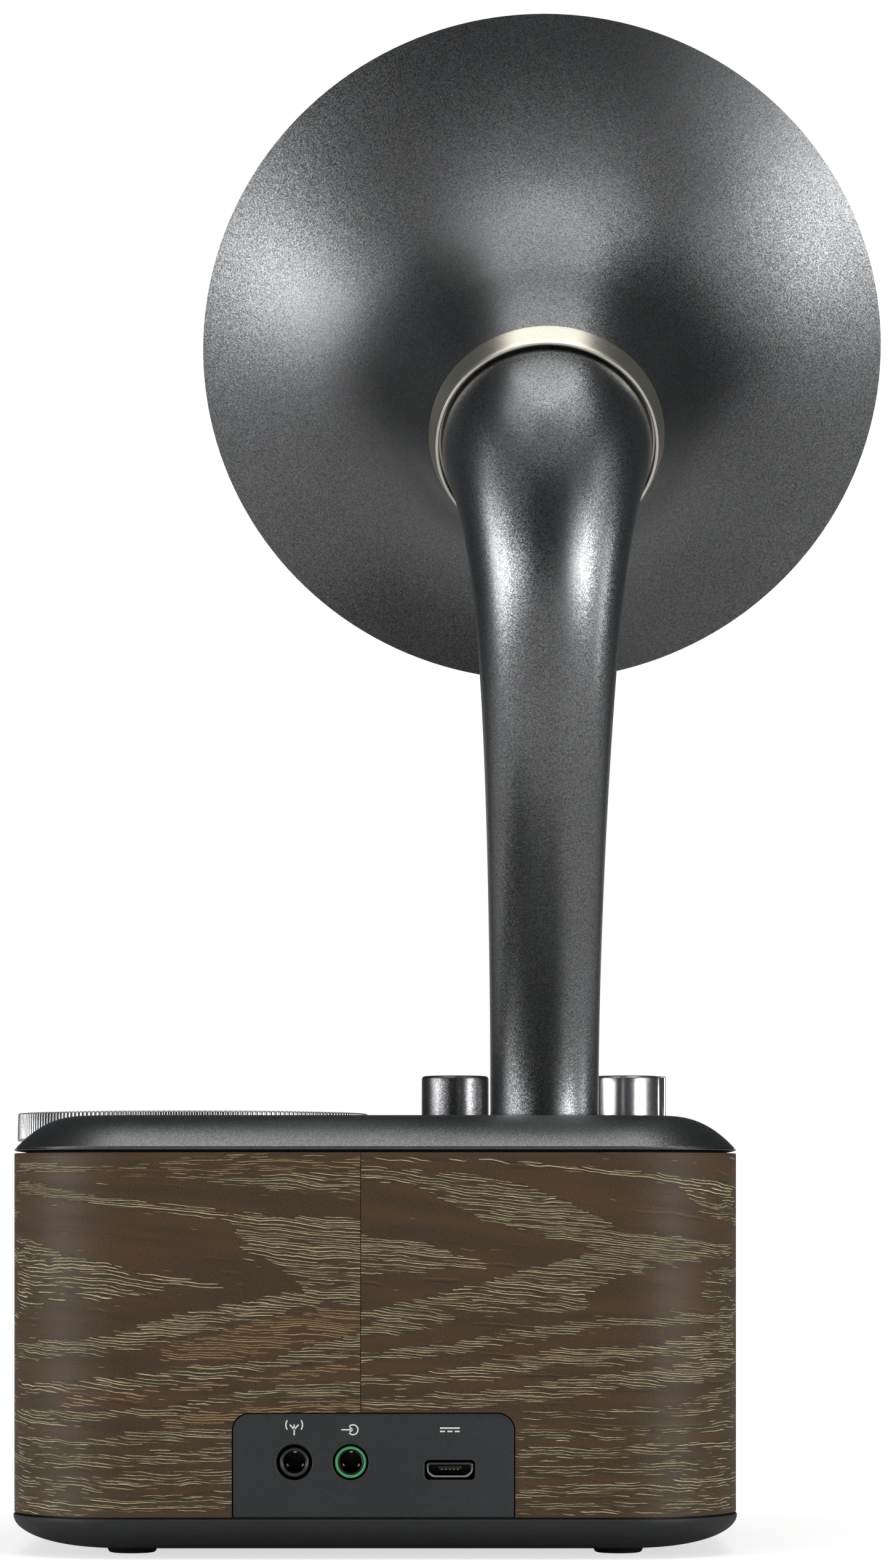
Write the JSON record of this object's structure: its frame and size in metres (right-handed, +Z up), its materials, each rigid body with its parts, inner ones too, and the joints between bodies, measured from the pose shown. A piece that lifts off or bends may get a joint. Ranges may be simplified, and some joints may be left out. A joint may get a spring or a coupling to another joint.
{
  "type": "horn loudspeaker",
  "caption": "Table radio loudspeaker with a swan-neck gramophone horn on a veneered cabinet, fluted tuning dial, turning knobs and rear sockets.",
  "frame": {"origin": "centre of the cabinet's footprint on the table top, at the underside of the feet", "axes": "+Z up, the horn mouth faces -Y, the rear sockets face +Y, the tuning dial overhangs the +X side"},
  "size_m": [0.1523, 0.1204, 0.2652],
  "materials": {
    "battery_wrap": "shrink wrap",
    "black_foam": "matte black seal",
    "cable_grey": "flat cable",
    "champagne_metal": "satin pale champagne with a polished bevel",
    "chip": "black package",
    "contact_gold": "gold plated",
    "copper_coil": "enamelled copper",
    "core_board": "raw fibreboard",
    "dial_face": "satin black scale plate",
    "dial_metal": "fluted, satin",
    "foot_rubber": "matte",
    "horn_metal": "satin metallic dark gunmetal",
    "knob_bright": "bright satin turned metal",
    "knob_dark": "dark satin turned metal",
    "lid_metal": "satin dark gunmetal",
    "magnet": "ferrite",
    "mark_white": "white index",
    "moulded_black": "black moulding",
    "paper_cone": "treated paper cone",
    "pcb": "green solder mask",
    "plate_plastic": "fine-textured charcoal",
    "polished": "polished index strip",
    "pot_body": "moulded control body",
    "shield": "tinned shield",
    "socket_black": "black socket body",
    "socket_green": "green collar",
    "steel": "bright zinc or turned steel",
    "tray_plastic": "fine-textured black",
    "veneer": "dark veneer with pale limed pores, satin",
    "wire": "insulated lead"
  },
  "bodies": {
    "cabinet": {"horn_bell": "horn_metal", "collar_ring": "champagne_metal", "horn_neck": "horn_metal", "neck_seal": "black_foam", "neck_mount": "steel", "neck_nut": "steel", "lid": "lid_metal", "lid_seal": "black_foam", "dial_index": "mark_white", "lid_screws": "steel", "veneer_wrap": "veneer", "cabinet_core": "core_board", "socket_plate": "plate_plastic", "socket_plate_screws": "steel", "bottom_tray": "tray_plastic", "rubber_feet": "foot_rubber", "tray_screws": "steel", "tuning_capacitor": "pot_body", "volume_pot": "pot_body", "volume_nut": "steel", "mode_selector": "pot_body", "mode_nut": "steel", "antenna_socket": "socket_black", "audio_socket": "socket_black", "audio_socket_collar": "socket_green", "usb_shell": "steel", "usb_tongue": "socket_black", "usb_contacts": "contact_gold", "main_board": "pcb", "board_components": "chip", "radio_module": "shield", "board_screws": "steel", "control_board": "pcb", "ribbon_cable": "cable_grey", "battery_cell": "battery_wrap", "battery_holder": "moulded_black", "battery_leads": "wire", "throat_adaptor": "moulded_black", "driver_gasket": "black_foam", "driver_basket": "moulded_black", "driver_magnet": "magnet", "driver_back_plate": "steel", "driver_surround": "foot_rubber", "driver_screws": "steel", "driver_leads": "wire"},
    "tuning": {"tuning_dial": "dial_metal", "dial_face": "dial_face", "tuning_shaft": "steel"},
    "volume": {"volume_knob": "knob_dark", "volume_index": "polished", "volume_shaft": "steel"},
    "mode": {"mode_knob": "knob_bright", "mode_index": "polished", "mode_shaft": "steel"},
    "cone": {"driver_cone": "paper_cone", "dust_cap": "paper_cone", "voice_coil": "copper_coil"}
  },
  "joints": [
    {"name": "tuning_turn", "type": "hinge", "parent": "cabinet", "child": "tuning", "pos_m": [0.0323, 0, 0.0712], "axis": [0, 0, 1], "range_deg": [-135, 135]},
    {"name": "volume_turn", "type": "hinge", "parent": "cabinet", "child": "volume", "pos_m": [-0.0134, -0.036, 0.076], "axis": [0, 0, 1], "range_deg": [-140, 140]},
    {"name": "mode_turn", "type": "hinge", "parent": "cabinet", "child": "mode", "pos_m": [-0.0444, -0.036, 0.076], "axis": [0, 0, 1], "range_deg": [-60, 60]},
    {"name": "cone_travel", "type": "slide", "parent": "cabinet", "child": "cone", "axis": [0, 0, 1], "range_m": [-0.001, 0.001], "stiffness_N_per_m": 800}
  ]
}
